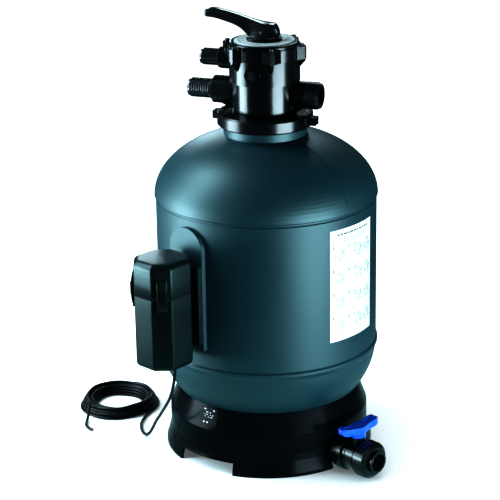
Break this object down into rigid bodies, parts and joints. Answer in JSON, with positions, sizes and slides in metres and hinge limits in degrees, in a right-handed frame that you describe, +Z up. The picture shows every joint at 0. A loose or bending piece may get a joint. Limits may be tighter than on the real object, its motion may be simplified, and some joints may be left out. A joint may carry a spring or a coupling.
{
  "type": "sand filter tank",
  "caption": "Upright moulded pool filter tank on a skirt base, with a lever valve on top, a drain valve at the foot, and a control box with a coiled cord on its wall.",
  "frame": {"origin": "on the floor under the tank axis", "axes": "+Z up along the tank axis; pump and return ports point to -X, the waste port to +X, the gauge plug to -Y"},
  "size_m": [0.831, 0.6242, 1.0168],
  "materials": {
    "tank_plastic": "satin moulded polyethylene, dark grey-green",
    "black_gloss": "glossy black moulding",
    "black_satin": "satin black moulding",
    "rubber_black": "matt",
    "cord_rubber": "semi-matt sheath",
    "blue_plastic": "glossy blue",
    "pale_plate": "printed pale plate",
    "label_film": "printed label film",
    "steel": "zinc plated",
    "inner_plastic": "natural moulding",
    "seat_plastic": "sliding seat",
    "sand": "loose graded sand",
    "board": "coated board",
    "core": "laminated core"
  },
  "bodies": {
    "tank": {"tank_shell": "tank_plastic", "base_stand": "black_gloss", "instruction_label": "label_film", "rating_plate": "pale_plate", "sand_bed": "sand", "standpipe": "inner_plastic", "lateral_hub": "inner_plastic", "laterals": "inner_plastic", "top_diffuser": "inner_plastic", "clamp_half_front": "black_gloss", "clamp_half_rear": "black_gloss", "clamp_bolts": "steel", "clamp_nuts": "steel", "neck_o_ring": "rubber_black", "valve_body": "black_gloss", "valve_lid": "black_gloss", "position_plate": "pale_plate", "lid_screws": "steel", "lid_o_ring": "rubber_black", "spider_gasket": "rubber_black", "stem_o_ring": "rubber_black", "gauge_plug": "black_gloss", "pump_hose_tail": "black_gloss", "return_hose_tail": "black_gloss", "tail_o_rings": "rubber_black", "waste_union_end": "black_gloss", "waste_o_ring": "rubber_black", "drain_bulkhead": "black_satin", "bulkhead_nut": "black_satin", "bulkhead_gasket": "rubber_black", "drain_elbow": "black_satin", "drain_pipe": "black_satin", "drain_valve_body": "black_gloss", "drain_end_inner": "black_satin", "drain_end_outer": "black_gloss", "drain_o_rings": "rubber_black", "ball_seats": "seat_plastic", "wall_bracket": "black_satin", "bracket_screws": "steel", "control_box": "black_satin", "hood_seal": "rubber_black", "circuit_board": "board", "transformer": "core", "cable_gland": "black_satin", "supply_cord": "cord_rubber", "cord_coil": "cord_rubber", "cord_tail": "cord_rubber"},
    "selector": {"slip_washer": "seat_plastic", "rotor_spring": "steel"},
    "rotor_stem": {"rotor": "black_satin", "lever_pin": "steel"},
    "lever": {"lever_handle": "black_gloss"},
    "waste_nut": {"waste_union_nut": "black_gloss"},
    "drain_nut_in": {"drain_nut_inner": "black_gloss"},
    "drain_nut_out": {"drain_nut_outer": "black_gloss"},
    "drain_turn": {"drain_ball": "black_satin", "drain_handle": "blue_plastic"},
    "hood": {"control_box_hood": "black_satin"},
    "front_latch": {"latch_front": "black_satin"},
    "left_latch": {"latch_left": "black_satin"}
  },
  "joints": [
    {"name": "selector_turn", "type": "hinge", "parent": "tank", "child": "selector", "pos_m": [0, 0, 0.955], "axis": [0, 0, 1], "continuous": true},
    {"name": "stem_lift", "type": "slide", "parent": "selector", "child": "rotor_stem", "axis": [0, 0, 1], "range_m": [0, 0.0064], "deforming": ["rotor_spring"]},
    {"name": "lever_press", "type": "hinge", "parent": "rotor_stem", "child": "lever", "pos_m": [0, 0, 0.971], "axis": [0, -1, 0], "range_deg": [0, 12], "stiffness_Nm_per_rad": 20, "springref_deg": -5.73},
    {"name": "waste_nut_turn", "type": "hinge", "parent": "tank", "child": "waste_nut", "pos_m": [0.114, 0, 0.832], "axis": [1, 0, 0], "continuous": true},
    {"name": "drain_nut_inner_turn", "type": "hinge", "parent": "tank", "child": "drain_nut_in", "pos_m": [0.22721, -0.11577, 0.043], "axis": [0.891, -0.454, 0], "continuous": true},
    {"name": "drain_nut_outer_turn", "type": "hinge", "parent": "tank", "child": "drain_nut_out", "pos_m": [0.28958, -0.14755, 0.043], "axis": [0.891, -0.454, 0], "continuous": true},
    {"name": "drain_valve_turn", "type": "hinge", "parent": "tank", "child": "drain_turn", "pos_m": [0.25839, -0.13166, 0.043], "axis": [0, 0, 1], "range_deg": [0, 90]},
    {"name": "hood_lift", "type": "slide", "parent": "tank", "child": "hood", "axis": [0, 0, 1], "range_m": [0, 0.09]},
    {"name": "front_latch_turn", "type": "hinge", "parent": "tank", "child": "front_latch", "pos_m": [-0.11129, -0.36122, 0.428], "axis": [0.9336, 0.3584, 0], "range_deg": [0, 75]},
    {"name": "left_latch_turn", "type": "hinge", "parent": "tank", "child": "left_latch", "pos_m": [-0.19397, -0.32441, 0.428], "axis": [0.3584, -0.9336, 0], "range_deg": [0, 75]}
  ],
  "couplings": [
    {"joint": "stem_lift", "follows": "lever_press", "m_per_rad": 0.029}
  ]
}
